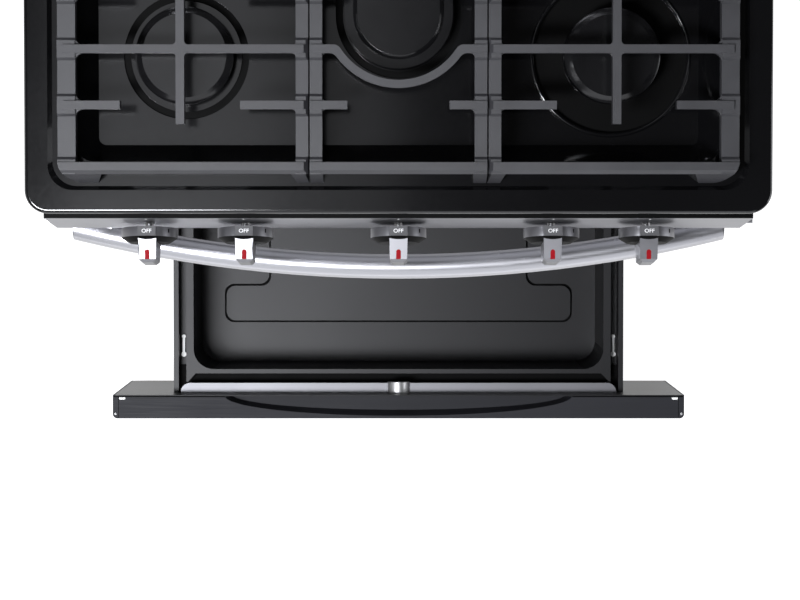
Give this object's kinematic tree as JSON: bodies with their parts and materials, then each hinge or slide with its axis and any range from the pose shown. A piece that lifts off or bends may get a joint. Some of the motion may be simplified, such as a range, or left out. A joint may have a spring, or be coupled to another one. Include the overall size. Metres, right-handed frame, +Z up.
{
  "type": "freestanding gas range",
  "caption": "Freestanding gas range with deep enamelled cooktop, cast-iron grates, bar-grip knobs, bowed door handle, glass-windowed oven and a sliding storage drawer.",
  "frame": {"origin": "on the floor, in the middle of the box that the range fills with its drawer standing open", "axes": "+X to the user's right, +Y towards the wall behind the range, +Z up"},
  "size_m": [0.757, 0.932, 1.19],
  "materials": {
    "black_porcelain": "glossy black porcelain enamel on steel",
    "cast_iron_grate": "matte grey enamelled cast iron",
    "cap_black": "satin black enamel",
    "burner_alloy": "cast, heat dulled",
    "stainless": "horizontally brushed stainless steel",
    "handle_steel": "bright satin tube",
    "knob_silver": "satin silver",
    "drawer_enamel": "dark grey enamel, satin",
    "drawer_face": "dark coated steel, horizontally brushed",
    "drawer_rail_silver": "satin silver",
    "side_paint": "black textured paint",
    "galvanised": "zinc coated steel sheet",
    "zinc_part": "zinc plated steel",
    "chrome_wire": "polished wire",
    "oven_enamel": "dark blue-black speckled enamel",
    "wool": "glass wool blanket",
    "smoked_glass": "smoked tempered glass",
    "display": "black glass panel",
    "clear_glass": "clear heat-proof glass",
    "gasket_cord": "woven glass-fibre gasket",
    "brass_part": "machined brass",
    "tube_alloy": "drawn tube",
    "pipe_black": "black steel pipe",
    "white_plastic": "moulded nylon",
    "black_plastic": "moulded, black",
    "electrode_ceramic": "white glazed ceramic"
  },
  "bodies": {
    "range_body": {"leveling_feet": "black_plastic", "base_frame": "galvanised", "side_panel_left": "side_paint", "side_panel_right": "side_paint", "rear_panel": "galvanised", "front_frame": "side_paint", "slide_cabinet_rails": "zinc_part", "cord_gland": "black_plastic", "oven_liner": "oven_enamel", "oven_insulation": "wool", "oven_floor_plate": "oven_enamel", "bake_burner": "zinc_part", "broil_burner": "zinc_part", "oven_lamp": "clear_glass", "temperature_sensor": "chrome_wire", "door_gasket": "gasket_cord", "hinge_receivers": "zinc_part", "cooktop": "black_porcelain", "burner_heads": "burner_alloy", "burner_caps": "cap_black", "spark_electrodes": "electrode_ceramic", "burner_tubes": "tube_alloy", "gas_manifold": "zinc_part", "burner_valves": "brass_part", "gas_regulator": "burner_alloy", "supply_pipe": "pipe_black", "control_panel": "stainless", "backguard_housing": "stainless", "display_glass": "display", "flue_grille": "side_paint"},
    "oven_door": {"door_skin": "stainless", "door_outer_glass": "smoked_glass", "door_liner": "oven_enamel", "door_inner_glass": "clear_glass", "door_hinge_arms": "zinc_part", "door_handle": "handle_steel"},
    "storage_drawer": {"drawer_front": "drawer_face", "drawer_back_plate": "drawer_enamel", "drawer_tray": "drawer_enamel", "drawer_front_rail": "drawer_rail_silver", "drawer_catch": "chrome_wire", "drawer_slide_rails": "drawer_enamel"},
    "slide_middles": {"slide_middle_rails": "zinc_part"},
    "release_left": {"release_lever_left": "white_plastic"},
    "release_right": {"release_lever_right": "white_plastic"},
    "lower_rack": {"oven_rack_lower": "chrome_wire"},
    "upper_rack": {"oven_rack_upper": "chrome_wire"},
    "left_grate": {"grate_left": "cast_iron_grate"},
    "center_grate": {"grate_center": "cast_iron_grate"},
    "right_grate": {"grate_right": "cast_iron_grate"},
    "stem_left_front": {"valve_stem_left_front": "zinc_part"},
    "knob_left_front": {"knob_left_front": "knob_silver"},
    "stem_left_rear": {"valve_stem_left_rear": "zinc_part"},
    "knob_left_rear": {"knob_left_rear": "knob_silver"},
    "stem_center": {"valve_stem_center": "zinc_part"},
    "knob_center": {"knob_center": "knob_silver"},
    "stem_right_rear": {"valve_stem_right_rear": "zinc_part"},
    "knob_right_rear": {"knob_right_rear": "knob_silver"},
    "stem_right_front": {"valve_stem_right_front": "zinc_part"},
    "knob_right_front": {"knob_right_front": "knob_silver"}
  },
  "joints": [
    {"name": "drawer_slide", "type": "slide", "parent": "range_body", "child": "storage_drawer", "axis": [0, -1, 0], "range_m": [-0.27, 0.07]},
    {"name": "middle_slide", "type": "slide", "parent": "range_body", "child": "slide_middles", "axis": [0, -1, 0], "range_m": [-0.135, 0.035]},
    {"name": "oven_door_hinge", "type": "hinge", "parent": "range_body", "child": "oven_door", "pos_m": [0, -0.182, 0.27], "axis": [1, 0, 0], "range_deg": [0, 90], "stiffness_Nm_per_rad": 8},
    {"name": "lower_rack_slide", "type": "slide", "parent": "range_body", "child": "lower_rack", "axis": [0, -1, 0], "range_m": [0, 0.024]},
    {"name": "upper_rack_slide", "type": "slide", "parent": "range_body", "child": "upper_rack", "axis": [0, -1, 0], "range_m": [0, 0.024]},
    {"name": "left_grate_lift", "type": "slide", "parent": "range_body", "child": "left_grate", "axis": [0, 0, 1], "range_m": [0, 0.08]},
    {"name": "center_grate_lift", "type": "slide", "parent": "range_body", "child": "center_grate", "axis": [0, 0, 1], "range_m": [0, 0.08]},
    {"name": "right_grate_lift", "type": "slide", "parent": "range_body", "child": "right_grate", "axis": [0, 0, 1], "range_m": [0, 0.08]},
    {"name": "left_lever_tilt", "type": "hinge", "parent": "storage_drawer", "child": "release_left", "pos_m": [-0.2895, -0.362, 0.1845], "axis": [-1, 0, 0], "range_deg": [0, 12], "stiffness_Nm_per_rad": 0.02},
    {"name": "right_lever_tilt", "type": "hinge", "parent": "storage_drawer", "child": "release_right", "pos_m": [0.2895, -0.362, 0.1845], "axis": [-1, 0, 0], "range_deg": [0, 12], "stiffness_Nm_per_rad": 0.02},
    {"name": "push_left_front", "type": "slide", "parent": "range_body", "child": "stem_left_front", "axis": [0, 0.9911, -0.1329], "range_m": [0, 0.0045], "stiffness_N_per_m": 1500},
    {"name": "turn_left_front", "type": "hinge", "parent": "stem_left_front", "child": "knob_left_front", "pos_m": [-0.259, -0.195, 0.86], "axis": [0, -0.9911, 0.1329], "range_deg": [0, 230]},
    {"name": "push_left_rear", "type": "slide", "parent": "range_body", "child": "stem_left_rear", "axis": [0, 0.9911, -0.1329], "range_m": [0, 0.0045], "stiffness_N_per_m": 1500},
    {"name": "turn_left_rear", "type": "hinge", "parent": "stem_left_rear", "child": "knob_left_rear", "pos_m": [-0.159, -0.195, 0.86], "axis": [0, -0.9911, 0.1329], "range_deg": [0, 230]},
    {"name": "push_center", "type": "slide", "parent": "range_body", "child": "stem_center", "axis": [0, 0.9911, -0.1329], "range_m": [0, 0.0045], "stiffness_N_per_m": 1500},
    {"name": "turn_center", "type": "hinge", "parent": "stem_center", "child": "knob_center", "pos_m": [0, -0.195, 0.86], "axis": [0, -0.9911, 0.1329], "range_deg": [0, 230]},
    {"name": "push_right_rear", "type": "slide", "parent": "range_body", "child": "stem_right_rear", "axis": [0, 0.9911, -0.1329], "range_m": [0, 0.0045], "stiffness_N_per_m": 1500},
    {"name": "turn_right_rear", "type": "hinge", "parent": "stem_right_rear", "child": "knob_right_rear", "pos_m": [0.159, -0.195, 0.86], "axis": [0, -0.9911, 0.1329], "range_deg": [0, 230]},
    {"name": "push_right_front", "type": "slide", "parent": "range_body", "child": "stem_right_front", "axis": [0, 0.9911, -0.1329], "range_m": [0, 0.0045], "stiffness_N_per_m": 1500},
    {"name": "turn_right_front", "type": "hinge", "parent": "stem_right_front", "child": "knob_right_front", "pos_m": [0.258, -0.195, 0.86], "axis": [0, -0.9911, 0.1329], "range_deg": [0, 230]}
  ],
  "couplings": [
    {"joint": "middle_slide", "follows": "drawer_slide", "ratio": 0.5}
  ]
}
